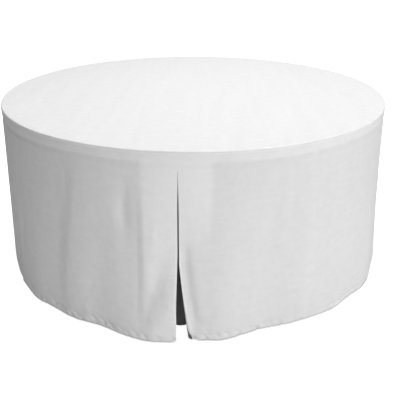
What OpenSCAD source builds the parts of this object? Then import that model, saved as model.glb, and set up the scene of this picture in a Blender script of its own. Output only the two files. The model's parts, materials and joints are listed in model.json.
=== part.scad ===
// Fitted round table cover with four inverted pleats, on a round folding table.
// Millimetres. +Z is up, the floor is Z = 0 under the centre of the table, and
// the front pleat faces -Y.

/* [Table] */
// Diameter of the round table top
table_d = 1829; // [1780:1:1880]
// Height of the table's surface above the floor
table_h = 762; // [750:1:780]
// Depth of the moulded table edge
edge_h = 45; // [40:1:50]
// Radius of the table edge's rounded corners
edge_r = 8; // [5:1:10]
// Wall of the hollow moulded top
skin_t = 4; // [3:0.5:5]

/* [Cover] */
// Thickness that the cloth is given
cloth_t = 1.5; // [1:0.1:1.8]
// Gap between the hem and the floor
hem_gap = 8; // [4:1:20]
// How far the hem stands out from the table's edge
flare = 37.5; // [25:0.5:50]
// Height of the folded hem
hem_h = 25; // [15:1:40]
// From the table's surface down to the top of each slit
slit_drop = 72; // [65:1:100]
// Width of a slit where it starts
slit_top_w = 3; // [3:0.5:6]
// Width of a slit at the hem
slit_hem_w = 45; // [10:1:60]
// Width of each pleat's hidden fold
pleat_w = 117; // [90:1:140]
// Part of the circle that each free pleat edge takes
flap_arc = 12; // [9:0.5:14]

/* [Leg frames] */
// Distance of each leg frame's hinge from the centre
hinge_x = 720; // [700:1:740]
// Height of the hinges above the floor
hinge_z = 694; // [690:1:696]
// Distance of each leg from the middle of its frame
leg_y = 278; // [260:1:279]
// Outer diameter of a leg tube
leg_d = 28; // [25:1:30]
// Outer diameter of the hinge tubes and crossbars
bar_d = 22; // [19:1:24]
// Wall of every tube
tube_t = 1.6; // [1.2:0.1:2]
// Outward lean of the legs
splay = 3; // [1:0.5:4]
// From the hinge down the leg to the crossbar
crossbar_drop = 560; // [500:1:600]

/* [Folding stays] */
// Distance of the stays' upper rivets from the centre
stay_x = 440; // [430:1:460]
// From the hinge down the leg to the stays' lower rivets
stay_drop = 200; // [190:1:210]
// Width of a stay bar
stay_w = 20; // [16:1:22]
// Thickness of a stay bar
stay_t = 3; // [2:0.5:3]
// Radius of the stays' rivets
rivet_r = 4; // [3:0.5:5]

/* [Side rails] */
// Length of each side rail
rail_l = 1580; // [1520:1:1600]
// Height of a side rail
rail_h = 45; // [44:1:48]
// Width of a rail's flanges
flange_w = 27; // [20:1:30]
// Thickness of the rails' steel
rail_t = 2.5; // [2:0.5:3]

/* [Hidden] */

// Facets of a large turned form, and of a small round one
big_fn = 180;
small_fn = 32;
// Room that a cutting solid reaches past what it cuts
over = 1;

// Directions of the four pleats
FRONT = -90;
RIGHT = 0;
BACK = 90;
LEFT = 180;

// Table edge and cloth radii
table_r = table_d / 2;
table_under = table_h - edge_h;
fit_gap = 0.3;
layer_gap = 0.5;
cover_in = table_r + fit_gap;
cover_out = cover_in + cloth_t;
cover_top = table_h + fit_gap + cloth_t;
corner_z = table_h - edge_r;
corner_x = table_r - edge_r;

// The skirt hangs straight past the table's edge, leaves it, and flares in a
// straight line from the slits' tops down to the hem
slit_z = table_h - slit_drop;
skirt_in = cover_in + 2 * (cloth_t + layer_gap);
hem_in = table_r + flare - cloth_t;
hem_z = hem_gap;
hem_fold_t = 0.7;
underlay_top = table_under - (table_under - slit_z) * cloth_t / (skirt_in - cover_in);
underlay_z = hem_z + 4;
pleat_arc = pleat_w / cover_in * 180 / PI;
hinge_gap_arc = 0.05;
return_setback = 3;
edge_steps = 6;
welt_h = 3;
welt_t = 1;
tack_h = 10;
tack_w = 5;

// Inner radius of the flared skirt at height z
function flare_in(z) = skirt_in + (hem_in - skirt_in) * (slit_z - z) / (slit_z - hem_z);

// Leg frames and stays
hinge_clear = 0.05;
leg_l = hinge_z / cos(splay);
foot_h = 32;
foot_wall = 3;
foot_pad = 8;
web_y = 303;
tube_end_y = web_y + 12;
lower_stay_y = web_y - 1 - 2 * stay_t - 1;
upper_stay_y = web_y - 1 - stay_t;
stay_eye = [hinge_x + stay_drop * sin(splay), hinge_z - stay_drop * cos(splay)];
stay_run = norm(stay_eye - [stay_x, hinge_z]);
stay_slope = atan2(hinge_z - stay_eye[1], stay_eye[0] - stay_x);
folded_run = hinge_x - stay_drop - stay_x;
upper_l = (stay_run + folded_run) / 2;
lower_l = (stay_run - folded_run) / 2;
screw_xs = [-620, -220, 220, 620];
screw_y = web_y + flange_w * 0.6;
screw_r = 2.5;
lip_r = table_r - 34;
rib_rs = [300, 600];

// ---------------------------------------------------------------- the cover

// Half section of a rounded disc as deep as the table's edge, made smaller by inset
module edge_section(inset) {
    translate([0, table_under + inset])
        square([corner_x, edge_h - 2 * inset]);
    translate([0, table_under + edge_r])
        square([table_r - inset, edge_h - 2 * edge_r]);
    for (z = [corner_z, table_under + edge_r])
        translate([corner_x, z])
            circle(r = edge_r - inset, $fn = 64);
}

// Flat part of the top panel
module top_panel() {
    color("white")
        translate([0, 0, table_h + fit_gap])
            cylinder(r = corner_x, h = cloth_t, $fn = big_fn);
}

// Quarter circle of radius r as points, from straight up round to level
function quarter(r) = [
    for (i = [0 : edge_steps])
        r * [sin(90 * i / edge_steps), cos(90 * i / edge_steps)]
];

// Outer part of the top panel, which turns down over the table's edge to the seam
module top_edge() {
    inner = quarter(edge_r + fit_gap);
    outer = quarter(edge_r + fit_gap + cloth_t);
    color("white")
        rotate_extrude($fn = big_fn)
            translate([corner_x, corner_z])
                polygon(concat(outer, [for (i = [edge_steps : -1 : 0]) inner[i]]));
}

// Narrow welt that covers the seam between the top panel and the skirt
module rim_welt() {
    color("whitesmoke")
        rotate_extrude($fn = big_fn)
            translate([cover_out, corner_z - welt_h / 2])
                square([welt_t, welt_h]);
}

// Inner side of the skirt from the seam down to height bottom, as points from the top down
function skirt_side(bottom) = [
    [cover_in, corner_z], [cover_in, table_under], [skirt_in, slit_z], [flare_in(bottom), bottom],
];

// Whole skirt section, with the hem folded on its outside
module skirt_section() {
    inner = skirt_side(hem_z);
    outer = [for (p = skirt_side(hem_z + hem_h)) p + [cloth_t, 0]];
    fold_x = cloth_t + hem_fold_t;
    polygon(concat(
        inner,
        [[hem_in + fold_x, hem_z], [flare_in(hem_z + hem_h) + fold_x, hem_z + hem_h]],
        [for (i = [len(outer) - 1 : -1 : 0]) outer[i]]
    ));
}

// Flared section below the slits' tops, moved inwards by set_in, with its hem fold's thickness
module flare_section(set_in, top, fold_t) {
    fold_z = hem_z + hem_h;
    polygon([
        [flare_in(top) - set_in, top], [hem_in - set_in, hem_z],
        [hem_in - set_in + cloth_t + fold_t, hem_z],
        [flare_in(fold_z) - set_in + cloth_t + fold_t, fold_z],
        [flare_in(fold_z) - set_in + cloth_t, fold_z],
        [flare_in(top) - set_in + cloth_t, top],
    ]);
}

// Wedge that opens a slit in local axes, where the pleat faces +X
module slit_wedge(extra) {
    top_half = slit_top_w / 2 + extra;
    hem_half = slit_hem_w / 2 + extra;
    translate([cover_in - 20, 0, 0])
        rotate([90, 0, 90])
            linear_extrude(flare + 40)
                polygon([
                    [-top_half, slit_z], [top_half, slit_z],
                    [hem_half, hem_z - over], [-hem_half, hem_z - over],
                ]);
}

// Places a piece that lies anticlockwise of a pleat, or its mirror image
module at_pleat(direction, side) {
    rotate([0, 0, direction])
        mirror([0, side < 0 ? 1 : 0, 0])
            children();
}

// Pie-shaped cutter that leaves room for a flap beside the local +X axis
module flap_window() {
    arc = flap_arc + hinge_gap_arc;
    reach = (table_r + flare) * 1.2;
    translate([0, 0, hem_z - over])
        linear_extrude(slit_z - hem_z + over)
            polygon([[0, 0], [reach, -over], [reach * cos(arc), reach * sin(arc)]]);
}

// Quarter of the skirt that starts at the given pleat
module skirt_quarter(direction) {
    color("white")
        rotate([0, 0, direction])
            difference() {
                rotate_extrude(angle = 90, $fn = big_fn)
                    skirt_section();
                flap_window();
                rotate([0, 0, 90])
                    mirror([0, 1, 0])
                        flap_window();
            }
}

// Free edge of the skirt beside a slit
module flap(direction, side) {
    color("white")
        at_pleat(direction, side)
            difference() {
                rotate_extrude(angle = flap_arc, $fn = big_fn)
                    flare_section(0, slit_z - layer_gap, hem_fold_t);
                slit_wedge(0);
            }
}

// Fold of the pleat that lies behind a flap and opens with it
module pleat_return(direction, side) {
    color("gainsboro")
        at_pleat(direction, side)
            difference() {
                rotate_extrude(angle = pleat_arc, $fn = big_fn)
                    flare_section(layer_gap + cloth_t, slit_z - layer_gap, 0);
                slit_wedge(return_setback);
            }
}

// Straight panel behind a slit
module underlay(direction) {
    color("silver")
        rotate([0, 0, direction - pleat_arc])
            rotate_extrude(angle = 2 * pleat_arc, $fn = big_fn)
                translate([cover_in, underlay_z])
                    square([cloth_t, underlay_top - underlay_z]);
}

// Thread bars that stop the slits from tearing
module bar_tacks() {
    color("whitesmoke")
        for (direction = [FRONT, RIGHT, BACK, LEFT])
            rotate([0, 0, direction])
                translate([skirt_in + cloth_t + 0.1, -tack_w / 2, slit_z + over])
                    cube([over, tack_w, tack_h]);
}

// ---------------------------------------------------------------- the table top

// Upper skin and rolled edge of the hollow moulding
module tabletop() {
    color("ivory")
        rotate_extrude($fn = big_fn)
            difference() {
                edge_section(0);
                edge_section(skin_t);
                translate([0, table_under - over])
                    square([lip_r, skin_t + 2 * over]);
            }
}

// Lower skin, with ring ribs that hold up the upper one
module under_skin() {
    color("ivory")
        difference() {
            rotate_extrude($fn = big_fn) {
                translate([0, table_under])
                    square([lip_r, skin_t]);
                for (r = rib_rs)
                    translate([r, table_under])
                        square([skin_t, edge_h - skin_t]);
            }
            screw_shanks();
        }
}

// Shanks of all rail screws
module screw_shanks() {
    for (x = screw_xs, side = [-1, 1])
        translate([x, side * screw_y, table_under - rail_t])
            cylinder(r = screw_r, h = rail_t + skin_t - 0.1, $fn = small_fn);
}

// Pan-head screws that hold the rails to the top
module rail_screws() {
    color("silver") {
        screw_shanks();
        for (x = screw_xs, side = [-1, 1])
            translate([x, side * screw_y, table_under - rail_t - 2.5])
                cylinder(r = 2 * screw_r, h = 2.5, $fn = small_fn);
    }
}

// Channel rail with its web inwards, on the given side of the table
module rail(side) {
    color("dimgray")
        mirror([0, side < 0 ? 1 : 0, 0])
            difference() {
                translate([-rail_l / 2, web_y, table_under - rail_h])
                    cube([rail_l, flange_w, rail_h]);
                translate([-rail_l / 2 - over, web_y + rail_t, table_under - rail_h + rail_t])
                    cube([rail_l + 2 * over, flange_w, rail_h - 2 * rail_t]);
                for (x = [-hinge_x, hinge_x])
                    cross_pin([x, hinge_z], web_y - over, web_y + rail_t + over, bar_d / 2 + hinge_clear);
                for (x = [-stay_x, stay_x])
                    cross_pin([x, hinge_z], web_y - over, web_y + rail_t + over, rivet_r);
                screw_shanks();
            }
}

// Cylinder along Y, centred at [x, z], from y = from to y = to
module cross_pin(at, from, to, r) {
    translate([at[0], from, at[1]])
        rotate([-90, 0, 0])
            cylinder(r = r, h = to - from, $fn = small_fn * 2);
}

// Rivets in the rails that the upper stays turn on
module stay_rivets() {
    color("silver")
        for (x = [-stay_x, stay_x], side = [0, 1])
            mirror([0, side, 0]) {
                cross_pin([x, hinge_z], upper_stay_y - 1, web_y + rail_t, rivet_r);
                cross_pin([x, hinge_z], web_y + rail_t, web_y + rail_t + 2, rivet_r * 1.8);
            }
}

// ---------------------------------------------------------------- leg frames

// Right-hand parts are drawn in place, and mirrored for the left
module on_side(side) {
    mirror([side < 0 ? 1 : 0, 0, 0])
        children();
}

// Front parts are mirrored from the back ones
module at_end(end) {
    mirror([0, end < 0 ? 1 : 0, 0])
        children();
}

// Leg axes: the origin is on the hinge, and -Z runs down the leg
module leg_axes() {
    translate([hinge_x, 0, hinge_z])
        rotate([0, -splay, 0])
            children();
}

// Tube that turns in the two rails
module hinge_tube(side) {
    color("dimgray")
        on_side(side)
            difference() {
                cross_pin([hinge_x, hinge_z], -tube_end_y, tube_end_y, bar_d / 2);
                cross_pin([hinge_x, hinge_z], -tube_end_y - over, tube_end_y + over,
                    bar_d / 2 - tube_t);
            }
}

// Leg tube, shaped at its top to fit the hinge tube
module leg(side, end) {
    color("dimgray")
        on_side(side)
            at_end(end)
                difference() {
                    leg_axes()
                        translate([0, leg_y, -leg_l + foot_pad])
                            cylinder(d = leg_d, h = leg_l - foot_pad - 4, $fn = small_fn * 2);
                    leg_axes()
                        translate([0, leg_y, -leg_l])
                            cylinder(d = leg_d - 2 * tube_t, h = leg_l, $fn = small_fn * 2);
                    cross_pin([hinge_x, hinge_z], 0, tube_end_y, bar_d / 2);
                    cross_pin(stay_eye, leg_y, web_y, rivet_r);
                }
}

// Lower bar between a frame's two legs
module crossbar(side) {
    color("dimgray")
        on_side(side)
            leg_axes()
                difference() {
                    cross_pin([0, -crossbar_drop], -leg_y, leg_y, bar_d / 2);
                    cross_pin([0, -crossbar_drop], -leg_y - over, leg_y + over, bar_d / 2 - tube_t);
                    for (y = [-leg_y, leg_y])
                        translate([0, y, -leg_l])
                            cylinder(d = leg_d, h = leg_l, $fn = small_fn * 2);
                }
}

// Foot cap, cut level with the floor
module foot(side, end) {
    color("darkslategray")
        on_side(side)
            at_end(end)
                difference() {
                    leg_axes()
                        translate([0, leg_y, -leg_l - foot_pad])
                            cylinder(d = leg_d + 2 * foot_wall, h = foot_h + foot_pad, $fn = small_fn * 2);
                    leg_axes()
                        translate([0, leg_y, -leg_l + foot_pad])
                            cylinder(d = leg_d, h = foot_h, $fn = small_fn * 2);
                    translate([hinge_x - 100, leg_y - 100, -100])
                        cube([300, 200, 100]);
                }
}

// Rivets in the legs that the lower stays turn on
module leg_rivets(side) {
    color("silver")
        on_side(side)
            for (end = [-1, 1])
                at_end(end)
                    cross_pin(stay_eye, leg_y + leg_d / 2 - tube_t - 2, lower_stay_y + stay_t, rivet_r);
}

// ---------------------------------------------------------------- folding stays

// Flat bar with a hole in each rounded end, lying along +X in the plane y = 0
module stay_bar(length, near_r, far_r) {
    difference() {
        union() {
            cross_pin([0, 0], 0, stay_t, stay_w / 2);
            cross_pin([length, 0], 0, stay_t, stay_w / 2);
            translate([0, 0, -stay_w / 2])
                cube([length, stay_t, stay_w]);
        }
        cross_pin([0, 0], -over, stay_t + over, near_r);
        cross_pin([length, 0], -over, stay_t + over, far_r);
    }
}

// Stay axes: the origin is on the upper rivet, and +X runs down the open stay
module stay_axes(y) {
    translate([stay_x, y, hinge_z])
        rotate([0, stay_slope, 0])
            children();
}

// Upper bar of a stay, next to the rail
module stay_upper(side, end) {
    color("silver")
        on_side(side)
            at_end(end)
                stay_axes(upper_stay_y)
                    stay_bar(upper_l, rivet_r + hinge_clear, rivet_r);
}

// Lower bar of a stay, next to the leg
module stay_lower(side, end) {
    color("silver")
        on_side(side)
            at_end(end)
                stay_axes(lower_stay_y)
                    translate([upper_l, 0, 0])
                        stay_bar(lower_l, rivet_r, rivet_r + hinge_clear);
}

// Rivets at the stays' elbows, held in the upper bars
module elbow_rivets(side) {
    color("silver")
        on_side(side)
            for (end = [-1, 1])
                at_end(end)
                    stay_axes(upper_stay_y)
                        cross_pin([upper_l, 0], 0, stay_t, rivet_r);
}

top_panel();
top_edge();
rim_welt();
bar_tacks();
skirt_quarter(FRONT);  // skirt_front_right
skirt_quarter(RIGHT);  // skirt_back_right
skirt_quarter(BACK);  // skirt_back_left
skirt_quarter(LEFT);  // skirt_front_left
underlay(FRONT);  // underlay_front
underlay(RIGHT);  // underlay_right
underlay(BACK);  // underlay_back
underlay(LEFT);  // underlay_left
flap(FRONT, -1);  // flap_front_left
flap(FRONT, 1);  // flap_front_right
flap(RIGHT, -1);  // flap_right_front
flap(RIGHT, 1);  // flap_right_back
flap(BACK, -1);  // flap_back_right
flap(BACK, 1);  // flap_back_left
flap(LEFT, -1);  // flap_left_back
flap(LEFT, 1);  // flap_left_front
pleat_return(FRONT, -1);  // return_front_left
pleat_return(FRONT, 1);  // return_front_right
pleat_return(RIGHT, -1);  // return_right_front
pleat_return(RIGHT, 1);  // return_right_back
pleat_return(BACK, -1);  // return_back_right
pleat_return(BACK, 1);  // return_back_left
pleat_return(LEFT, -1);  // return_left_back
pleat_return(LEFT, 1);  // return_left_front
tabletop();
under_skin();
rail(-1);  // rail_front
rail(1);  // rail_back
rail_screws();
stay_rivets();
hinge_tube(-1);  // hinge_tube_left
leg(-1, -1);  // leg_left_front
leg(-1, 1);  // leg_left_back
crossbar(-1);  // crossbar_left
foot(-1, -1);  // foot_left_front
foot(-1, 1);  // foot_left_back
leg_rivets(-1);  // leg_rivets_left
stay_upper(-1, -1);  // stay_upper_left_front
stay_upper(-1, 1);  // stay_upper_left_back
stay_lower(-1, -1);  // stay_lower_left_front
stay_lower(-1, 1);  // stay_lower_left_back
elbow_rivets(-1);  // elbow_rivets_left
hinge_tube(1);  // hinge_tube_right
leg(1, -1);  // leg_right_front
leg(1, 1);  // leg_right_back
crossbar(1);  // crossbar_right
foot(1, -1);  // foot_right_front
foot(1, 1);  // foot_right_back
leg_rivets(1);  // leg_rivets_right
stay_upper(1, -1);  // stay_upper_right_front
stay_upper(1, 1);  // stay_upper_right_back
stay_lower(1, -1);  // stay_lower_right_front
stay_lower(1, 1);  // stay_lower_right_back
elbow_rivets(1);  // elbow_rivets_right
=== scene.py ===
import json
import math

import bpy
import numpy as np
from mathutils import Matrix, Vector


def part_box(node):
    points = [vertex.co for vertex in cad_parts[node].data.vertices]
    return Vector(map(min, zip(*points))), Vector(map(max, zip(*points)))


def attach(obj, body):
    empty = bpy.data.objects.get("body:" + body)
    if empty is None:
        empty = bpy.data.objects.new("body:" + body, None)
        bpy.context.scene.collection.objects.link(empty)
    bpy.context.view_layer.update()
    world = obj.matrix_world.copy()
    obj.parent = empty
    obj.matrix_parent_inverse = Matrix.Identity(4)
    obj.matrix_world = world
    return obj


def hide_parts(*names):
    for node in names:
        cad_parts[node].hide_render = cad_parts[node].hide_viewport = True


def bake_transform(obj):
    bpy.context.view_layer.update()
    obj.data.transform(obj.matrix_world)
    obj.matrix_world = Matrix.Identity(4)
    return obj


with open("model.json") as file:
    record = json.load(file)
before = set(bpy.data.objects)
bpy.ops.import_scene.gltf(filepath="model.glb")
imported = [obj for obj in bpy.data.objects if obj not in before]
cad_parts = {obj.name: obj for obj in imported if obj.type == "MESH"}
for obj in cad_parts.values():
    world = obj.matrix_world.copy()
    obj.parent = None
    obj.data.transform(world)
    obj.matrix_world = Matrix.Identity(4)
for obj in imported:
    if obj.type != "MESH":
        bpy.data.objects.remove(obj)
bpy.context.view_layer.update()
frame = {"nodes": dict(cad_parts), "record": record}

# ---------------------------------------------------------------- places, from the frame

TOP_LOW, TOP_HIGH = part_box("top_edge")
FLAP_LOW, FLAP_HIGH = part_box("flap_right_back")
UNDERLAY_LOW, UNDERLAY_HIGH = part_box("underlay_right")
TABLE_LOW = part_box("tabletop")[0]

TOP_Z = TOP_HIGH.z
RIM_R = TOP_HIGH.x            # outside of the cloth where it lies on the table's edge
SEAM_Z = TOP_LOW.z            # seam between the top panel and the skirt
EDGE_Z = TABLE_LOW.z          # underside of the table's edge
SLIT_Z = FLAP_HIGH.z          # top of every slit
HEM_Z = FLAP_LOW.z
HEM_R = FLAP_HIGH.x           # outside of the CAD's skirt at the hem
UNDERLAY_Z = UNDERLAY_LOW.z
PLEAT_W = UNDERLAY_HIGH.y     # width of each hidden fold

CLOTH = 0.0009                # thickness that the cloth is drawn with
HEM_H = 0.025                 # height of the doubled hem
STITCH = 0.0030               # length of a stitch
STITCH_GAP = 0.0012           # gap between two stitches
THREAD_R = 0.00032            # half the thickness of the sewing thread
HEM_LINE_Z = HEM_Z + HEM_H - 0.002     # height of the hem's row of stitches
HEM_IN = 0.0075               # how far the hem hangs inside the CAD's, before the folds
RIM_CORNER = 0.0045           # radius of the top panel's rounded rim
UNDERLAY_GAP = 0.0028         # how far behind the skirt an underlay hangs at its top
UNDERLAY_DEPTH = 0.072        # how much further behind it hangs at the hem
UNDERLAY_RAISED = 0.008       # how far an underlay's lower edge is above the CAD's
PUCKER_TOP = 0.07             # height above the hem that its puckers don't pass
PUCKER_LEAN = 45              # degrees that a hem pucker leans over per metre of height
HALF_PANEL = math.pi / 4      # half of a skirt panel, from its slit to its middle

# Direction of each pleat. Directions are in degrees, anticlockwise from +X, seen from above
PLEATS = {"front": -90, "right": 0, "back": 90, "left": 180}

# Each free pleat edge: its pleat, +1 where it lies anticlockwise of it, and its skirt panel
FLAPS = {
    "front_left": ("front", -1, "skirt_front_left"),
    "front_right": ("front", 1, "skirt_front_right"),
    "right_front": ("right", -1, "skirt_front_right"),
    "right_back": ("right", 1, "skirt_back_right"),
    "back_right": ("back", -1, "skirt_back_right"),
    "back_left": ("back", 1, "skirt_back_left"),
    "left_back": ("left", -1, "skirt_back_left"),
    "left_front": ("left", 1, "skirt_front_left"),
}

# How each slit edge hangs: how far it stands from the pleat's middle at the hem, how its opening
# grows, the share of the slit where that starts, and its fold's half width and depth at the hem
EDGES = {
    "front_left": {"open": 0.007, "power": 1.0, "start": 0.45, "fold_w": 0.002, "fold_d": 0.002},
    "front_right": {"open": 0.033, "power": 1.08, "start": 0.52, "fold_w": 0.022, "fold_d": 0.016},
    "right_front": {"open": 0.020, "power": 1.2, "start": 0.4, "fold_w": 0.009, "fold_d": 0.007},
    "right_back": {"open": 0.009, "power": 1.0, "start": 0.1, "fold_w": 0.005, "fold_d": 0.004},
    "back_right": {"open": 0.024, "power": 1.2, "start": 0.5, "fold_w": 0.010, "fold_d": 0.008},
    "back_left": {"open": 0.008, "power": 1.0, "start": 0.0, "fold_w": 0.004, "fold_d": 0.003},
    "left_back": {"open": 0.022, "power": 1.2, "start": 0.45, "fold_w": 0.010, "fold_d": 0.008},
    "left_front": {"open": 0.010, "power": 1.0, "start": 0.1, "fold_w": 0.004, "fold_d": 0.003},
}

# How a pleat's hidden layers show on the half panel over them: how much further they lift it below
# the table's edge, how much wider than the pleat they reach, and the share of their paleness that
# is left at the hem
PLAIN_LAYERS = {"lift": 0.0012, "wider": 0.0, "hold": 0.1}
LAYERS = {
    # Painted light: front_left's paleness reaching wider and holding down to the hem brightens that flap
    # beyond what its layers give
    "front_left": {"lift": 0.0045, "wider": 0.014, "hold": 0.7},
    "front_right": {"lift": -0.0010, "wider": 0.0, "hold": 0.1},
}

# Soft folds of the skirt: direction at the top and at the hem, half width on the clockwise side
# and on the other, in degrees, then height halfway down and at the hem, in millimetres
FOLDS = [
    (-69, -69, 6.8, 7.5, -13, -24), (-60, -59, 4.0, 6.0, 8, -4), (-49, -49, 4.5, 5.0, 2, 9),
    (-34, -34, 7.0, 8.0, 5, 21), (-80, -80, 3.0, 3.0, 2, 6), (-17, -17, 6.0, 6.0, -1, 7),
    (-97, -97, 9.0, 6.5, 12, 20), (-109, -110, 4.5, 7.0, -3, -12), (-131, -131, 5.5, 5.0, 4, 14),
    (-151, -151, 7.0, 5.0, -3, -6), (-113.2, -119.0, 2.8, 10.0, 12, 4), (-104.5, -104.5, 3.0, 3.0, 2, 1),
    (-141, -140, 2.0, 5.0, 2, 6), (-165, -164, 9.0, 7.0, -4, -8), (173, 172, 6.0, 7.0, -2, -4),
    (157, 158, 5.0, 8.0, 5, 15), (142, 141, 5.0, 4.0, -4, -13), (131, 130, 1.6, 6.0, 5, 5),
    (119, 120, 6.0, 6.0, 3, 14), (104, 104, 6.0, 5.0, -3, -8), (82, 82, 7.0, 6.0, 4, 15),
    (68, 67, 5.0, 6.0, -4, -14), (55, 57, 6.0, 2.0, 5, 6), (44, 43, 5.0, 7.0, 3, 14),
    (28, 29, 7.0, 6.0, -5, -16), (12, 13, 5.0, 5.0, 3, 10), (1, 0, 4.0, 4.0, -1, 3),
]

# Local dents and swellings: direction, height, half width in degrees, half length in metres, and
# size in millimetres
DENTS = [(-102.2, 0.53, 1.5, 0.10, -7.0), (-86, 0.64, 3.0, 0.05, 0.8), (-47, 0.66, 3.5, 0.06, -1.0),
         (-138, 0.28, 2.0, 0.12, -4.0), (-126, 0.50, 2.5, 0.12, 2.0), (150, 0.45, 2.0, 0.12, -3.5),
         (110, 0.52, 1.8, 0.11, -4.0), (60, 0.50, 2.2, 0.12, 3.0), (20, 0.45, 2.0, 0.14, -3.0)]


def smooth(t):
    """Smoothstep of t, held to 0..1."""
    t = np.clip(t, 0, 1)
    return t * t * (3 - 2 * t)


def bump(x, middle, half_width):
    """Smooth bump of height 1."""
    return np.exp(-(((x - middle) / half_width) ** 2))


def wrap_degrees(a):
    """The same direction from -180 up to 180."""
    return (a + 180) % 360 - 180


def spaced(parts):
    """Values from 0 to the last part's end, where each part is (end, step)."""
    out = [0.0]
    for end, step in parts:
        count = max(1, round((end - out[-1]) / step))
        out += list(np.linspace(out[-1], end, count + 1)[1:])
    return np.array(out)


# ---------------------------------------------------------------- the skirt's shape


def drop_share(z):
    """0 at the table's lower edge, 1 at the hem."""
    return np.clip((EDGE_Z - z) / (EDGE_Z - HEM_Z), 0, 1)


def slit_share(z):
    """0 at the slits' tops, 1 at the hem."""
    return np.clip((SLIT_Z - z) / (SLIT_Z - HEM_Z), 0, 1)


def base_radius(z):
    """Outside of the skirt with no folds: a little in at the seam and out below it where it lies
    on the table's edge, drawn in under the edge, then flaring."""
    seam = -0.0005 * bump(z, SEAM_Z, 0.004) + 0.0006 * bump(z, EDGE_Z + 0.019, 0.009)
    tuck = 0.0026 * bump(z, EDGE_Z - 0.004, 0.011)
    return RIM_R + (HEM_R - RIM_R) * drop_share(z) ** 1.05 + seam - tuck


def scattered_creases(seed, count):
    """Short shallow creases: direction, height, lean, half length, half width and height of each."""
    draw = np.random.default_rng(seed)
    return np.column_stack([
        draw.uniform(-180, 180, count),
        draw.uniform(HEM_Z + 0.03, EDGE_Z - 0.01, count),
        draw.normal(0, 0.8, count),
        draw.uniform(0.015, 0.07, count),
        draw.uniform(0.006, 0.013, count),
        draw.uniform(-0.0016, 0.0016, count),
    ])


def scattered_puckers(seed):
    """Dimples that the hem's stitching pulls: direction, half width, height and depth of each."""
    draw = np.random.default_rng(seed)
    found = []
    direction = -180.0
    while direction < 179:
        height = HEM_Z + HEM_H * draw.uniform(0.4, 1.1)
        found.append((direction, draw.uniform(0.42, 0.70), height, draw.uniform(0.003, 0.009)))
        direction += draw.uniform(1.5, 3.4)
    return found


CREASES = scattered_creases(72, 260)
PUCKERS = scattered_puckers(5)


def fold_height(degrees, z):
    """How far the skirt stands out at a direction from its soft folds, creases and hem puckers."""
    t = drop_share(z)
    out = np.zeros(np.broadcast(degrees, z).shape)
    for top, hem, clockwise, other, halfway, end in FOLDS:
        off = wrap_degrees(degrees - top - (hem - top) * t)
        width = np.where(off < 0, clockwise, other)
        height = halfway * 4 * t * (1 - t) + end * t * (2 * t - 1)
        out += height / 1000 * bump(off, 0, width)
    for middle, height_z, half_width, length, size in DENTS:
        out += size / 1000 * bump(wrap_degrees(degrees - middle), 0, half_width) * bump(z, height_z, length)
    out -= HEM_IN * t
    for middle, height_z, lean, length, half_width, size in CREASES:
        along = z - height_z
        across = np.radians(wrap_degrees(degrees - middle)) * RIM_R - lean * along
        out += size * bump(across, 0, half_width) * bump(along, 0, length)
    lowest = np.broadcast_to(z, out.shape).reshape(out.shape[0], -1).min(axis=1)
    low = np.nonzero(lowest < HEM_Z + PUCKER_TOP)[0]
    if len(low):
        near = np.broadcast_to(degrees, out.shape)[low], np.broadcast_to(z, out.shape)[low]
        for middle, half_width, height_z, depth in PUCKERS:
            off = wrap_degrees(near[0] - middle) + PUCKER_LEAN * (near[1] - height_z)
            dimple = bump(off, 0, half_width) * bump(near[1], height_z, 0.011)
            out[low] -= depth * dimple
    return out


def edge_height(name, s, z):
    """How far the cloth stands out near a slit, at the distance s from the slit's edge: lifted by
    the pleat's layers, then swollen and hollowed beside the edge in that slit's own way."""
    t = drop_share(z)
    layer = LAYERS.get(name, PLAIN_LAYERS)
    lift = 0.0013 + layer["lift"] * smooth(t * 2.5) * (1 - smooth((t - 0.75) / 0.25))
    out = lift * smooth((TOP_Z - z) / 0.03) * (1 - smooth((s - PLEAT_W - layer["wider"] + 0.016) / 0.032))
    if name == "front_left":
        spread = 0.020 + 0.070 * smooth((t - 0.4) / 0.6)
        out = out + 0.028 * bump(s, 0.0, spread) * bump(t, 0.75, 0.15)
        hollow = smooth((t - 0.3) / 0.4) * (1 - smooth((t - 0.85) / 0.15))
        out -= 0.006 * bump(s, 0.030 + spread, 0.030) * hollow
    elif name == "front_right":
        fade = smooth((t - 0.41) / 0.08) * (1 - smooth((t - 0.85) / 0.15))
        out = out - 0.0085 * bump(s, 0.022, 0.021) * fade
        out -= 0.0060 * bump(s, 0.0, 0.014) * smooth((t - 0.92) / 0.08)
    else:
        out = out + 0.006 * bump(s, 0.0, 0.028) * bump(t, 0.85, 0.25)
        out -= 0.0025 * bump(s, 0.045, 0.025) * smooth((t - 0.3) / 0.5)
    return out


def slit_edge(name, z):
    """Distance of a slit's edge from the pleat's middle, and its fold's half width and depth."""
    e = EDGES[name]
    t = slit_share(z)
    opened = np.clip((t - e["start"]) / (1 - e["start"]), 0, 1)
    parted = np.where(z < SLIT_Z, 0.0004 + 0.0018 * smooth(t / 0.22), 0)
    away = parted + e["open"] * opened ** e["power"]
    fold_w = 0.0006 + 0.0006 * smooth(t / 0.05) + e["fold_w"] * opened ** 3
    fold_d = 0.0006 + 0.0005 * smooth(t / 0.1) + e["fold_d"] * opened ** 3
    return away, fold_w, fold_d


def corner_roll(name, z):
    """How far round its fold, in radians, a slit edge's hidden side shows at the hem's corner."""
    return EDGES[name]["fold_w"] / 0.017 * smooth((slit_share(z) - 0.86) / 0.14)


def underlay_depth(z):
    """How far behind the skirt's outside an underlay's outside hangs."""
    return UNDERLAY_GAP + UNDERLAY_DEPTH * slit_share(z)


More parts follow.
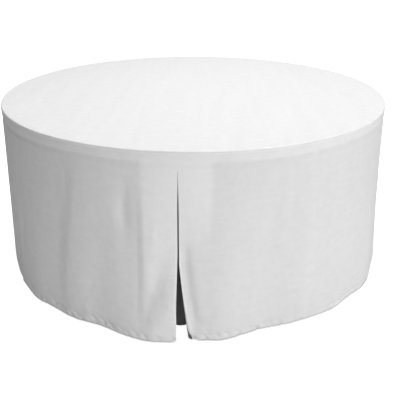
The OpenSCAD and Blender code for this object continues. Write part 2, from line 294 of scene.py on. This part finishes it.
def skirt_points(pleat, side, lateral, depth, out, z):
    """World points at arc distance lateral from a pleat's middle, depth inside the skirt's
    outside, and out beyond it."""
    radius = base_radius(z)
    angle = math.radians(PLEATS[pleat]) + side * lateral / radius
    r = radius - depth + out + fold_height(np.degrees(angle), z)
    z = z + 0 * r
    return np.stack([r * np.cos(angle), r * np.sin(angle), z], axis=-1)


# ---------------------------------------------------------------- meshes


def grid_faces(rows, columns, wrap_rows=False, wrap_columns=False):
    """Quads of a grid of points, joined around where it wraps."""
    at = np.arange(rows * columns).reshape(rows, columns)
    if wrap_rows:
        at = np.concatenate([at, at[:1]])
    if wrap_columns:
        at = np.concatenate([at, at[:, :1]], axis=1)
    corners = (at[:-1, :-1], at[:-1, 1:], at[1:, 1:], at[1:, :-1])
    return np.stack([c.ravel() for c in corners], axis=1)


def mesh_object(name, points, faces, uv=None, pale_layers_and_painted_light=None, sharp=40):
    """Mesh with smooth shading, sharp only at edges steeper than sharp degrees. The paleness argument
    holds each point's paleness, with any painted highlight and painted shade, as the skirt's paleness
    function gives it."""
    mesh = bpy.data.meshes.new(name)
    mesh.from_pydata(np.asarray(points).tolist(), [], [list(map(int, f)) for f in faces])
    mesh.update()
    mesh.polygons.foreach_set("use_smooth", [True] * len(mesh.polygons))
    mesh.set_sharp_from_angle(angle=math.radians(sharp))
    if uv is not None:
        layer = mesh.uv_layers.new(name="cloth")
        loops = np.zeros(len(mesh.loops), np.int32)
        mesh.loops.foreach_get("vertex_index", loops)
        layer.data.foreach_set("uv", np.asarray(uv, np.float32)[loops].ravel())
    if pale_layers_and_painted_light is not None:
        layer = mesh.attributes.new("pale_layers_and_painted_light", "FLOAT", "POINT")
        layer.data.foreach_set("value", np.asarray(pale_layers_and_painted_light, np.float32).ravel())
    piece = bpy.data.objects.new(name, mesh)
    bpy.context.scene.collection.objects.link(piece)
    return piece


def grid_normals(points, flip):
    """Unit normals of a grid of points, the other way round if flip is true."""
    normals = np.cross(np.gradient(points, axis=1), np.gradient(points, axis=0))
    normals *= -1 if flip else 1
    return normals / np.maximum(np.linalg.norm(normals, axis=2, keepdims=True), 1e-12)


def cloth_shell(name, outside, flat, thickness, flip, pale_layers_and_painted_light=0.0):
    """Closed sheet of cloth from a grid of points on its outside, where flat holds each point's
    place on the cut cloth in metres. Its outside faces the other way if flip is true."""
    rows, columns = outside.shape[:2]
    normals = grid_normals(outside, flip)
    thickness = np.broadcast_to(thickness, (rows, columns))[:, :, None]
    inside = outside - normals * thickness
    points = np.concatenate([outside.reshape(-1, 3), inside.reshape(-1, 3)])
    size = rows * columns
    front = grid_faces(rows, columns)
    back = front[:, ::-1] + size
    at = np.arange(size).reshape(rows, columns)
    rim = np.concatenate([at[0, :], at[1:, -1], at[-1, -2::-1], at[-2:0:-1, 0]])
    after = np.roll(rim, -1)
    edge = np.stack([rim, rim + size, after + size, after], 1)
    faces = np.concatenate([front, back, edge])
    if flip:
        faces = faces[:, ::-1]
    pale_layers_and_painted_light = np.broadcast_to(pale_layers_and_painted_light, (rows, columns)).ravel()
    return mesh_object(name, points, faces, np.concatenate([flat.reshape(-1, 2)] * 2),
                       np.concatenate([pale_layers_and_painted_light] * 2))


# ---------------------------------------------------------------- cloth pieces


def half_panel(name, cloth):
    """Half of a skirt panel, from the outer half of its slit's fold to the panel's middle."""
    pleat, side, panel = FLAPS[name]
    length = SEAM_Z - HEM_Z
    z = SEAM_Z - spaced([(0.06, 0.003), (length - 0.05, 0.009), (length, 0.0028)])[:, None]
    away, fold_w, fold_d = slit_edge(name, z)
    roll = corner_roll(name, z)
    turn = roll + (math.pi / 2 - roll) * np.linspace(0, 1, 10)[None, :-1]
    flat = spaced([(0.08, 0.003), (1.0, 0.0055)])[None, :]
    width = base_radius(z) * HALF_PANEL - away - fold_w
    s = np.concatenate([0 * z * turn, flat / flat.max() * width], axis=1)
    start = away + fold_w
    lateral = np.concatenate([away + fold_w * (1 - np.cos(turn)), start + flat / flat.max() * width], 1)
    depth = np.concatenate([fold_d * (1 - np.sin(turn)), 0 * z * flat], axis=1)
    outside = skirt_points(pleat, side, lateral, depth, edge_height(name, s, z), z)
    thickness = np.where(z < HEM_Z + HEM_H, 2 * CLOTH, CLOTH)
    stitched_in = 0.0004 * bump(z, HEM_LINE_Z, 0.0016)
    outside = outside - grid_normals(outside, side > 0) * stitched_in[:, :, None]
    flat_place = np.stack([lateral, z + 0 * lateral], axis=-1)
    layer = LAYERS.get(name, PLAIN_LAYERS)
    piece = cloth_shell("half_panel_" + name, outside, flat_place, thickness, flip=side > 0,
                        pale_layers_and_painted_light=paleness_with_painted_light(lateral - layer["wider"], s, z, layer["hold"]))
    piece.data.materials.append(cloth)
    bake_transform(piece)
    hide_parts(panel, "flap_" + name)
    return piece, outside


def paleness_with_painted_light(lateral, s, z, hold):
    """Paleness of the skirt's cloth: 0 where it is single, up to 1 where white layers lie behind
    it, more as a painted highlight on the slit's folded edge, and under 0 as painted shade in a
    thin band along the hem. Hold is the share of the pleat's paleness that is left at the hem."""
    t = drop_share(z)
    edge = PLEAT_W - 0.030 * smooth((t - 0.35) / 0.5)
    near = 1 - smooth((lateral - edge + 0.018) / 0.036)
    pleat = near * (1 - (1 - hold) * smooth((t - 0.1) / 0.5))
    rim = 0.7 * smooth((z - EDGE_Z + 0.002) / 0.016)
    # Painted highlight: a bright line along the slit's folded edge, from just below the slit's top down.
    fold = 1.6 * (1 - smooth((s - 0.004) / 0.003)) * smooth((SLIT_Z - z) / 0.01)
    hem = 0.3 * (1 - smooth((z - HEM_Z - HEM_H + 0.002) / 0.004))
    # Painted shade: a thin dark band along the hem's lower edge, fading in over the first 24 mm from the
    # slit's edge.
    shade = 3.0 * (1 - smooth((z - HEM_Z - 0.002) / 0.004)) * smooth((s - 0.004) / 0.02)
    return np.maximum(np.maximum(pleat, rim), np.maximum(fold, hem)) - shade


def pleat_return(name, cloth):
    """Hidden fold of a pleat, from the inner half of its slit's fold back to the underlay."""
    pleat, side, _ = FLAPS[name]
    z = SLIT_Z + 0.012 - spaced([(SLIT_Z + 0.012 - HEM_Z, 0.009)])[:, None]
    away, fold_w, fold_d = slit_edge(name, z)
    roll = corner_roll(name, z)
    turn = (math.pi / 2 + roll) * np.linspace(0, 1, 13)[None, :] - roll
    run = np.linspace(0, 1, 15)[None, 1:]
    start = away + fold_w
    lateral = np.concatenate([away + fold_w * (1 - np.cos(turn)), start + (PLEAT_W - start) * run], 1)
    far = underlay_depth(z) - 0.0002
    back = 2 * fold_d + (far - 2 * fold_d) * run
    sewn = 0.0024 * smooth((z - SLIT_Z + 0.012) / 0.010)
    depth = np.concatenate([fold_d * (1 + np.sin(turn)), back], axis=1) + sewn
    share = np.concatenate([0 * turn, run + 0 * z], axis=1)
    out = edge_height(name, 0 * z, z) * (1 - smooth(share))
    outside = skirt_points(pleat, side, lateral, depth, out, z)
    flat_place = np.stack([lateral, z + 0 * lateral], axis=-1)
    piece = cloth_shell("pleat_return_" + name, outside, flat_place, CLOTH, flip=side < 0)
    piece.data.materials.append(cloth)
    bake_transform(piece)
    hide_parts("return_" + name)
    return piece, outside


def underlay(pleat, cloth):
    """Panel that hangs behind a slit and meets both of its returns."""
    top = SLIT_Z + 0.014
    z = top - spaced([(top - UNDERLAY_Z - UNDERLAY_RAISED, 0.009)])[:, None]
    lateral = np.linspace(-1, 1, 45)[None, :] * (PLEAT_W + 0.0015) + 0 * z
    sway = 0.0018 * np.cos(lateral / PLEAT_W * 2.2 * math.pi) * slit_share(z)
    outside = skirt_points(pleat, 1, lateral, underlay_depth(z), sway, z)
    flat_place = np.stack([lateral, z + 0 * lateral], axis=-1)
    piece = cloth_shell("pleat_underlay_" + pleat, outside, flat_place, CLOTH, flip=True)
    piece.data.materials.append(cloth)
    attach(piece, "cover")
    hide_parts("underlay_" + pleat)
    return piece, outside


def top_profile():
    """Radius and height along the top panel's outside, from near its middle to the seam."""
    corner = RIM_CORNER
    flat = [0.02, 0.05] + list(np.linspace(0.09, RIM_R - corner - 0.06, 16))
    flat += list(np.linspace(RIM_R - corner - 0.05, RIM_R - corner, 10))
    turn = np.linspace(0, math.pi / 2, 9)[1:]
    r = flat + list(RIM_R - corner + corner * np.sin(turn)) + [RIM_R, RIM_R]
    z = [TOP_Z] * len(flat) + list(TOP_Z - corner + corner * np.cos(turn))
    z += [SEAM_Z + 0.0025, SEAM_Z]
    return np.array(r), np.array(z)


def top_panel(cloth):
    """Round top of the cover, nearly flat, turned down over the table's edge to the seam."""
    columns = 360
    r, z = top_profile()
    angle = np.arange(columns) / columns * 2 * math.pi
    pull = smooth((r - RIM_R + 0.09) / 0.08) * (1 - smooth((r - RIM_R + 0.012) / 0.012))
    ripple = 0.00025 * (np.sin(angle * 37 + 1.3 * np.sin(angle * 5)) + np.sin(angle * 59 + 2))
    sag = 0.0002 * (np.sin(angle * 3) + 1) * 0.5
    height = pull[:, None] * ripple[None, :] - sag[None, :] * smooth(r / RIM_R)[:, None]
    rings = []
    for inset, order in ((0.0, 1), (CLOTH, -1)):
        rr = r - inset * smooth((r - RIM_R + RIM_CORNER) / RIM_CORNER)
        zz = z - inset * (1 - smooth((TOP_Z - z) / RIM_CORNER))
        x, y = rr[:, None] * np.cos(angle), rr[:, None] * np.sin(angle)
        ring = np.stack([x, y, zz[:, None] + height], -1)
        rings.append(ring[::order])
    points = np.concatenate([np.concatenate(rings).reshape(-1, 3), [[0, 0, TOP_Z], [0, 0, TOP_Z - CLOTH]]])
    count = 2 * len(r)
    faces = [list(f[::-1]) for f in grid_faces(count, columns, wrap_columns=True)]
    upper, lower = len(points) - 2, len(points) - 1
    last = (count - 1) * columns
    for i in range(columns):
        j = (i + 1) % columns
        faces.append([upper, i, j])
        faces.append([lower, last + j, last + i])
    piece = mesh_object("cover_top", points, faces, points[:, :2], 0.45 * np.ones(len(points)))
    piece.data.materials.append(cloth)
    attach(piece, "cover")
    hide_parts("top_panel", "top_edge")
    return piece


def ring_welt(cloth):
    """Narrow welt around the seam, pressed flat, following the pleats' layers."""
    columns, sides = 720, 10
    angle = np.arange(columns) / columns * 2 * math.pi
    turn = np.arange(sides) / sides * 2 * math.pi
    puff = 1 + 0.10 * np.sin(angle * 211) + 0.06 * np.sin(angle * 97)
    r = RIM_R + 0.0003 + pleat_layers(angle, SEAM_Z) + 0.0010 * np.cos(turn)[:, None] * puff
    z = SEAM_Z + 0.0020 * np.sin(turn)[:, None] * puff
    points = np.stack([r * np.cos(angle), r * np.sin(angle), z + 0 * r], -1).reshape(-1, 3)
    uv = np.stack(np.broadcast_arrays(angle * RIM_R, turn[:, None] * 0.002), -1)
    faces = grid_faces(sides, columns, wrap_rows=True, wrap_columns=True)[:, ::-1]
    piece = mesh_object("seam_welt", points, faces, uv.reshape(-1, 2), np.ones(len(points)))
    piece.data.materials.append(cloth)
    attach(piece, "cover")
    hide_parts("rim_welt")
    return piece


def pleat_layers(angle, z):
    """How far the pleats' hidden layers push out the cloth near the seam, by direction in radians."""
    nearest = np.min([np.abs(wrap_degrees(np.degrees(angle) - p)) for p in PLEATS.values()], axis=0)
    return edge_height("", np.radians(nearest) * RIM_R, z)


# ---------------------------------------------------------------- thread


def stitch_mesh(name, starts, ends, normals, radius, thread):
    """Stitches as short rounded threads from starts to ends, lying along the surface."""
    starts, ends, normals = (np.asarray(v, float) for v in (starts, ends, normals))
    along = ends - starts
    side = np.cross(along, normals)
    side /= np.linalg.norm(side, axis=1, keepdims=True)
    stations = ((0.0, 0.25, -0.6), (0.2, 0.9, 0.25), (0.5, 1.0, 0.5), (0.8, 0.9, 0.25), (1.0, 0.25, -0.6))
    turns = np.arange(6) / 6 * 2 * math.pi
    rings = []
    for share, fat, lift in stations:
        middle = starts + along * share + normals * radius * lift
        for turn in turns:
            rings.append(middle + radius * fat * (math.cos(turn) * side + math.sin(turn) * normals))
    points = np.stack(rings, axis=1)
    count, per = points.shape[:2]
    one = [list(f) for f in grid_faces(len(stations), 6, wrap_columns=True)]
    one += [[5, 4, 3, 2, 1, 0], [per - 6 + i for i in range(6)]]
    faces = [[v + k * per for v in f] for k in range(count) for f in one]
    piece = mesh_object(name, points.reshape(-1, 3), faces, sharp=60)
    piece.data.materials.append(thread)
    return piece


def stitch_line(points, normals):
    """Starts, ends and normals of the stitches along a line of points."""
    steps = np.linalg.norm(np.diff(points, axis=0), axis=1)
    at = np.concatenate([[0], np.cumsum(steps)])
    begin = np.arange(STITCH_GAP, at[-1] - STITCH, STITCH + STITCH_GAP)

    def place(values, where):
        return np.stack([np.interp(where, at, values[:, k]) for k in range(3)], axis=1)

    return place(points, begin), place(points, begin + STITCH), place(normals, begin + STITCH / 2)


def hem_stitches(name, outside, thread):
    """Row of stitches along the top edge of a half panel's hem."""
    rows = outside[:, 0, 2]
    row = int(np.argmin(np.abs(rows - HEM_LINE_Z)))
    normals = grid_normals(outside, FLAPS[name][1] > 0)[row]
    starts, ends, up = stitch_line(outside[row] + normals * 0.0001, normals)
    piece = stitch_mesh("hem_stitches_" + name, starts, ends, up, THREAD_R, thread)
    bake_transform(piece)
    return piece


def rim_stitches(thread):
    """Row of stitches just under the welt, all the way round."""
    angle = np.linspace(0, 2 * math.pi, 1441)
    z = SEAM_Z - 0.0055
    r = base_radius(z) + pleat_layers(angle, z) + fold_height(np.degrees(angle), z) + 0.0001
    points = np.stack([r * np.cos(angle), r * np.sin(angle), z + 0 * r], axis=1)
    normals = np.stack([np.cos(angle), np.sin(angle), 0 * angle], axis=1)
    starts, ends, up = stitch_line(points, normals)
    piece = stitch_mesh("rim_stitches", starts, ends, up, THREAD_R, thread)
    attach(piece, "cover")
    return piece


def bar_tacks(thread):
    """Dense zigzag bars of thread that close the slits' tops."""
    starts, ends, up = [], [], []
    for direction in PLEATS.values():
        a = math.radians(direction)
        radial = np.array([math.cos(a), math.sin(a), 0])
        sideways = np.array([-math.sin(a), math.cos(a), 0])
        for i in range(15):
            z = SLIT_Z + 0.0006 + i * 0.00062
            r = base_radius(z) + float(pleat_layers(a, z)) + 0.0003
            middle = radial * r + np.array([0, 0, z])
            starts.append(middle - sideways * 0.0017)
            ends.append(middle + sideways * 0.0017 + np.array([0, 0, 0.0003]))
            up.append(radial)
    piece = stitch_mesh("slit_bar_tacks", starts, ends, up, 0.00034, thread)
    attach(piece, "cover")
    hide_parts("bar_tacks")
    return piece


# ---------------------------------------------------------------- materials


class Nodes:
    """Small helper that adds and links the nodes of one material."""

    def __init__(self, name):
        self.material = bpy.data.materials.new(name)
        self.material.use_nodes = True
        self.tree = self.material.node_tree
        self.shader = self.tree.nodes["Principled BSDF"]

    def add(self, kind, inputs=(), **settings):
        node = self.tree.nodes.new(kind)
        for key, value in settings.items():
            setattr(node, key, value)
        for key, value in dict(inputs).items():
            if isinstance(value, bpy.types.NodeSocket):
                self.tree.links.new(value, node.inputs[key])
            else:
                node.inputs[key].default_value = value
        return node

    def math(self, operation, a, b=0.0):
        return self.add("ShaderNodeMath", {0: a, 1: b}, operation=operation).outputs[0]

    def mix(self, share, a, b):
        node = self.add("ShaderNodeMix", data_type="RGBA")
        for socket, value in ((0, share), (6, a), (7, b)):
            if isinstance(value, bpy.types.NodeSocket):
                self.tree.links.new(value, node.inputs[socket])
            else:
                node.inputs[socket].default_value = value
        return node.outputs[2]

    def noise(self, place, scale, detail=2.0):
        node = self.add("ShaderNodeTexNoise", {"Vector": place, "Scale": scale, "Detail": detail})
        return node.outputs["Fac"]

    def stretched_noise(self, place, scales, detail=2.0):
        """Noise with a scale for each axis."""
        mapped = self.add("ShaderNodeMapping", {"Vector": place, "Scale": scales}).outputs[0]
        return self.noise(mapped, 1.0, detail)

    def bump(self, height, distance, strength):
        inputs = {"Height": height, "Distance": distance, "Strength": strength}
        node = self.add("ShaderNodeBump", inputs)
        self.tree.links.new(node.outputs[0], self.shader.inputs["Normal"])

    def place(self):
        return self.add("ShaderNodeTexCoord").outputs["Object"]

    def set(self, **values):
        for key, value in values.items():
            socket = self.shader.inputs[key.replace("_", " ")]
            if isinstance(value, bpy.types.NodeSocket):
                self.tree.links.new(value, socket)
            else:
                socket.default_value = value


def cloth_material(name, single, backed):
    """Plain-woven polyester: warp and weft, slubs, faint crumples, uneven tone, and the paler tone
    where white layers lie behind it, partly real and partly raised as painted light, with the
    painted highlight and painted shade carried on the same attribute. Single and backed are how
    much light it sends back there."""
    unevenness = 0.15
    taken_off = 0.09    # about what the unevenness adds on average
    palest = 0.97
    n = Nodes(name)
    pitch = 0.0008
    uv = n.add("ShaderNodeUVMap", uv_map="cloth").outputs[0]
    parts = n.add("ShaderNodeSeparateXYZ", {0: uv}).outputs
    waves = [n.math("SINE", n.math("MULTIPLY", parts[k], 2 * math.pi / pitch)) for k in (0, 1)]
    weave = n.math("MULTIPLY", waves[0], waves[1])
    slub = n.stretched_noise(uv, (40, 900, 1))
    crumple = n.noise(n.place(), 26.0, 3.0)
    fine = n.math("ADD", n.math("MULTIPLY", weave, 0.5), slub)
    n.bump(n.math("ADD", fine, n.math("MULTIPLY", crumple, 18.0)), 0.00025, 0.5)
    weft = n.stretched_noise(uv, (14, 70, 1), 3.0)
    cloud = n.noise(n.place(), 34.0, 4.0)
    drape = n.stretched_noise(uv, (16, 1.5, 1))
    tone = n.math("ADD", n.math("MULTIPLY", weft, 0.35), n.math("MULTIPLY", cloud, 0.45))
    tone = n.math("ADD", tone, n.math("MULTIPLY", drape, 0.35))
    # Paleness from the layers behind, partly painted light, with a painted highlight on the slits' folded
    # edges and painted shade along the hem
    pale_layers_and_painted_light = n.add("ShaderNodeAttribute", attribute_name="pale_layers_and_painted_light").outputs["Fac"]
    level = n.math("ADD", n.math("MULTIPLY", pale_layers_and_painted_light, backed - single), single - taken_off)
    level = n.math("ADD", level, n.math("MULTIPLY", tone, unevenness))
    level = n.math("MINIMUM", level, palest)
    grey = n.add("ShaderNodeCombineColor", {0: level, 1: level, 2: level}).outputs[0]
    n.set(Base_Color=grey, Roughness=0.9)
    n.set(Sheen_Weight=0.04, Sheen_Roughness=0.5, Specular_IOR_Level=0.12)
    return n.material


def thread_material():
    """Twisted polyester thread."""
    n = Nodes("sewing_thread")
    twist = n.add("ShaderNodeTexWave", {"Vector": n.place(), "Scale": 900.0, "Distortion": 1.5},
                  bands_direction="DIAGONAL").outputs["Fac"]
    n.bump(twist, 0.0001, 0.5)
    n.set(Base_Color=n.mix(twist, (0.86, 0.86, 0.85, 1), (0.95, 0.95, 0.94, 1)), Roughness=0.55)
    return n.material


def moulded_material():
    """Off-white blow-moulded plastic with a pebbled skin."""
    n = Nodes("moulded_plastic")
    place = n.place()
    pebble = n.add("ShaderNodeTexVoronoi", {"Vector": place, "Scale": 420.0}).outputs["Distance"]
    cloud = n.noise(place, 5.0, 4.0)
    n.bump(pebble, 0.0004, 0.35)
    n.set(Base_Color=n.mix(cloud, (0.74, 0.73, 0.69, 1), (0.80, 0.79, 0.75, 1)))
    n.set(Roughness=n.math("ADD", n.math("MULTIPLY", cloud, 0.2), 0.42))
    return n.material


def painted_material():
    """Grey powder coat with a fine orange peel."""
    n = Nodes("powder_coat")
    place = n.place()
    peel = n.noise(place, 700.0, 1.0)
    cloud = n.noise(place, 9.0, 4.0)
    n.bump(peel, 0.0003, 0.25)
    n.set(Base_Color=n.mix(cloud, (0.045, 0.047, 0.05, 1), (0.075, 0.078, 0.082, 1)))
    n.set(Roughness=n.math("ADD", n.math("MULTIPLY", cloud, 0.18), 0.36))
    return n.material


def zinc_material():
    """Zinc-plated steel with faint drawn lines and dull patches."""
    n = Nodes("zinc_plate")
    place = n.place()
    drawn = n.stretched_noise(place, (8, 500, 500))
    cloud = n.noise(place, 30.0, 4.0)
    n.bump(drawn, 0.0001, 0.2)
    n.set(Base_Color=n.mix(cloud, (0.55, 0.56, 0.58, 1), (0.70, 0.71, 0.72, 1)), Metallic=1.0)
    n.set(Roughness=n.math("ADD", n.math("MULTIPLY", cloud, 0.25), 0.28))
    return n.material


def rubber_material():
    """Black rubber, a little dusty."""
    n = Nodes("foot_rubber")
    place = n.place()
    dust = n.noise(place, 60.0, 5.0)
    n.bump(n.noise(place, 900.0, 1.0), 0.0002, 0.3)
    n.set(Base_Color=n.mix(dust, (0.015, 0.015, 0.016, 1), (0.06, 0.06, 0.058, 1)), Roughness=0.78)
    return n.material


def finish_table():
    """Gives every table part that stays a CAD node its material."""
    made = {
        "moulded_top": moulded_material(), "frame_paint": painted_material(),
        "zinc_steel": zinc_material(), "foot_rubber": rubber_material(),
    }
    for part in frame["record"]["subparts"]:
        if part["material_slot"] in made:
            node = frame["nodes"][part["node"]]
            node.data.materials.clear()
            node.data.materials.append(made[part["material_slot"]])


# ---------------------------------------------------------------- the room


def area_light(name, direction, distance, height, size, power):
    """Square light, aimed at the table, at a direction in degrees from the front towards +X."""
    a = math.radians(direction - 90)
    light = bpy.data.lights.new(name, "AREA")
    light.shape = "SQUARE"
    light.size = size
    light.energy = power
    lamp = bpy.data.objects.new(name, light)
    lamp.location = (distance * math.cos(a), distance * math.sin(a), height)
    lamp.rotation_euler = (Vector((0, 0, 0.4)) - lamp.location).to_track_quat("-Z", "Y").to_euler()
    bpy.context.scene.collection.objects.link(lamp)


# Each light's direction in degrees, distance, height and size in metres, and power in watts
LIGHTS = {
    "key": (40, 4.0, 1.3, 2.2, 34), "fill": (5, 4.0, 1.3, 2.2, 17), "side": (85, 4.0, 1.3, 2.2, 8),
    "overhead": (60, 0.5, 5.0, 4.0, 203), "behind": (180, 4.2, 1.2, 2.4, 52),
}


def room():
    """Pale floor, white surroundings and soft lights. The camera sees the floor and the
    surroundings as plain white, apart from a thin shade on the floor under the hem."""
    w = 40
    floor = mesh_object("floor", [(-w, -w, 0), (w, -w, 0), (w, w, 0), (-w, w, 0)], [(0, 1, 2, 3)])
    n = Nodes("floor_paint")
    paint = n.mix(n.noise(n.place(), 0.6), (0.93, 0.93, 0.93, 1), (0.95, 0.95, 0.95, 1))
    n.set(Base_Color=paint, Roughness=0.9)
    seen = n.add("ShaderNodeLightPath").outputs["Is Camera Ray"]
    contact = n.add("ShaderNodeAmbientOcclusion", {"Distance": 0.03}).outputs["AO"]
    n.set(Emission_Color=(1, 1, 1, 1))
    n.set(Emission_Strength=n.math("MULTIPLY", seen, contact))
    floor.data.materials.append(n.material)
    world = bpy.data.worlds.new("studio")
    world.use_nodes = True
    tree = world.node_tree
    seen = tree.nodes.new("ShaderNodeLightPath").outputs["Is Camera Ray"]
    strength = tree.nodes.new("ShaderNodeMapRange")
    strength.inputs["To Min"].default_value = 0.06
    strength.inputs["To Max"].default_value = 1.0
    tree.links.new(seen, strength.inputs["Value"])
    tree.links.new(strength.outputs[0], tree.nodes["Background"].inputs["Strength"])
    tree.nodes["Background"].inputs["Color"].default_value = (1, 1, 1, 1)
    bpy.context.scene.world = world
    for name, placed in LIGHTS.items():
        area_light(name, *placed)
    bpy.context.scene.view_settings.view_transform = "Standard"


def camera():
    """Camera above the table, a little to the right of the front pleat, looking down by pitch
    degrees."""
    a = math.radians(3.3)
    distance = 2.475
    height = 1.351
    pitch = 20.05
    data = bpy.data.cameras.new("camera")
    data.lens = 44.9
    data.sensor_width = 36
    data.shift_x = 0.017
    data.shift_y = -0.134
    cam = bpy.data.objects.new("camera", data)
    cam.location = (distance * math.sin(a), -distance * math.cos(a), height)
    cam.rotation_euler = (math.radians(90 - pitch), 0, a)
    bpy.context.scene.collection.objects.link(cam)
    bpy.context.scene.camera = cam


# ---------------------------------------------------------------- build

camera()
room()
finish_table()
white = cloth_material("cover_cloth", 0.86, 0.96)
# The pleats' returns and underlays are the same white cloth as the cover, drawn dark grey here as painted
# shade for the deep shade inside the slits.
painted_shade_cloth = cloth_material("pleat_cloth", 0.18, 0.18)
thread = thread_material()

top = top_panel(white)
welt = ring_welt(white)
seam_row = rim_stitches(thread)
bar_tacks(thread)

for flap in FLAPS:
    panel, shape = half_panel(flap, white)
    row = hem_stitches(flap, shape, thread)
    fold, shape = pleat_return(flap, painted_shade_cloth)
for pleat in PLEATS:
    back, shape = underlay(pleat, painted_shade_cloth)
